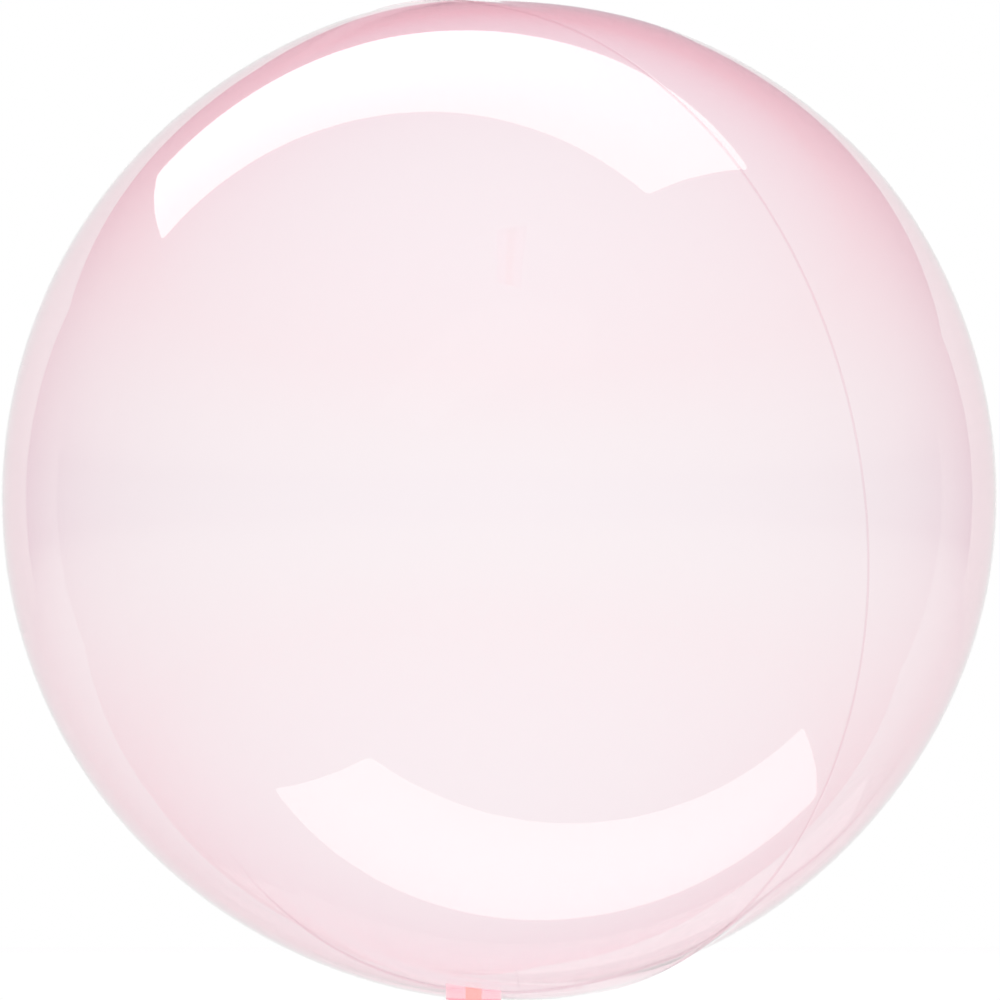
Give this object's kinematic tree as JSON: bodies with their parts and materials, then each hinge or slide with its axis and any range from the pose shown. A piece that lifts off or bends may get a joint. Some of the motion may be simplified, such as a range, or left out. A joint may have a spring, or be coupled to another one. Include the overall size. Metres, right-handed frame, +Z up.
{
  "type": "orb balloon",
  "caption": "Round see-through film balloon, sealed and full, resting on a small flat spot with its flat inflation tail laid forward under it.",
  "frame": {"origin": "middle of the flat rest spot on the underside, straight below the envelope's centre", "axes": "+Z up, away from the rest spot; -Y towards the viewer; the tail points towards -Y under the envelope"},
  "size_m": [0.499, 0.5, 0.5012],
  "materials": {
    "clear_film": "clear pink film, high gloss",
    "welded_film": "double pink film, heat-welded along its edges",
    "valve_film": "thin warm red film strip"
  },
  "bodies": {
    "root": {"envelope": "clear_film", "inflation_tail": "welded_film", "fill_valve": "valve_film"}
  },
  "joints": []
}
